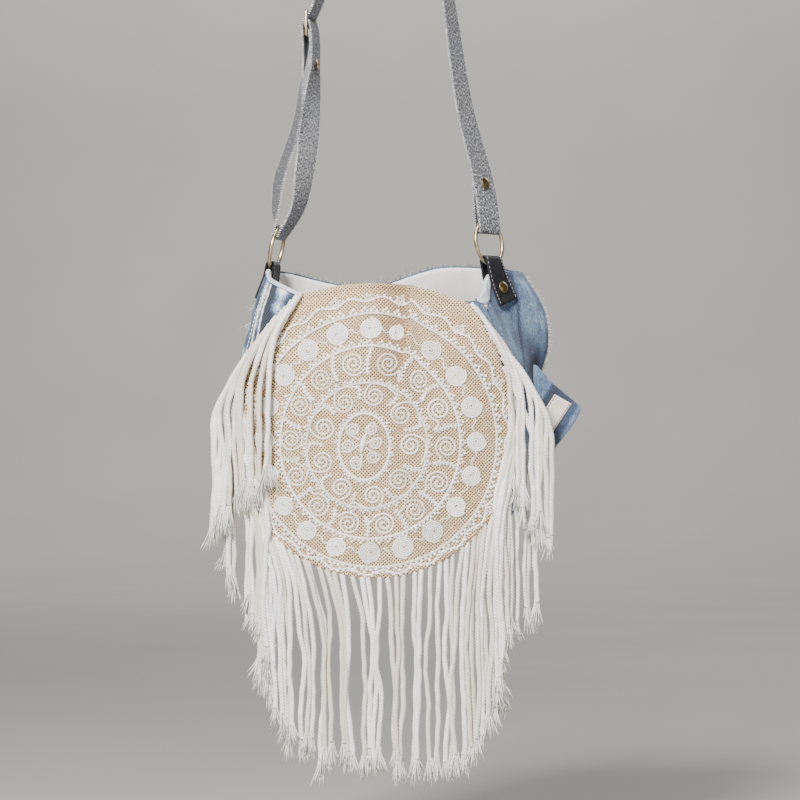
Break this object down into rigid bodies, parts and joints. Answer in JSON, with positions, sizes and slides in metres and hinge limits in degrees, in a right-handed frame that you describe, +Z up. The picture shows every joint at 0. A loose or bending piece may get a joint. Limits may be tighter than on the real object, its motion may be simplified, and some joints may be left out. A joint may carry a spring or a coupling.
{
  "type": "fringe shoulder bag",
  "caption": "Open-topped denim shoulder bag with a round embroidered burlap mat and long cotton fringe on its front, hung from an adjustable webbing strap on rings.",
  "frame": {"origin": "underside of the strap at its highest point, where a shoulder or peg carries it", "axes": "+Z up along the hanging bag, -Y towards the embroidered front, +X to the right as seen from the front"},
  "size_m": [0.3994, 0.134, 1.2336],
  "materials": {
    "denim": "washed indigo denim with faded folds and frayed edges",
    "lining": "soft white cotton",
    "burlap": "coarse jute plain weave with white chain stitch",
    "cotton": "twisted warm white cotton cord",
    "trim": "cream cotton tape with brown stitching",
    "webbing": "grey-blue melange woven webbing",
    "leather": "black grained leather with white edge stitching",
    "brass": "light antique brass"
  },
  "bodies": {
    "root": {"front_panel": "denim", "back_panel": "denim", "left_gusset": "denim", "right_gusset": "denim", "base_panel": "denim", "lining": "lining", "front_disc": "burlap", "fringe_left": "cotton", "fringe_bottom": "cotton", "fringe_right": "cotton", "side_cuff": "denim", "cuff_band": "trim", "left_tab": "leather", "right_tab": "leather", "left_ring": "brass", "right_ring": "brass", "strap": "webbing", "slider": "brass", "strap_rivet_left": "brass", "strap_rivet_right": "brass", "tab_rivet_left": "brass", "tab_rivet_right": "brass"}
  },
  "joints": []
}
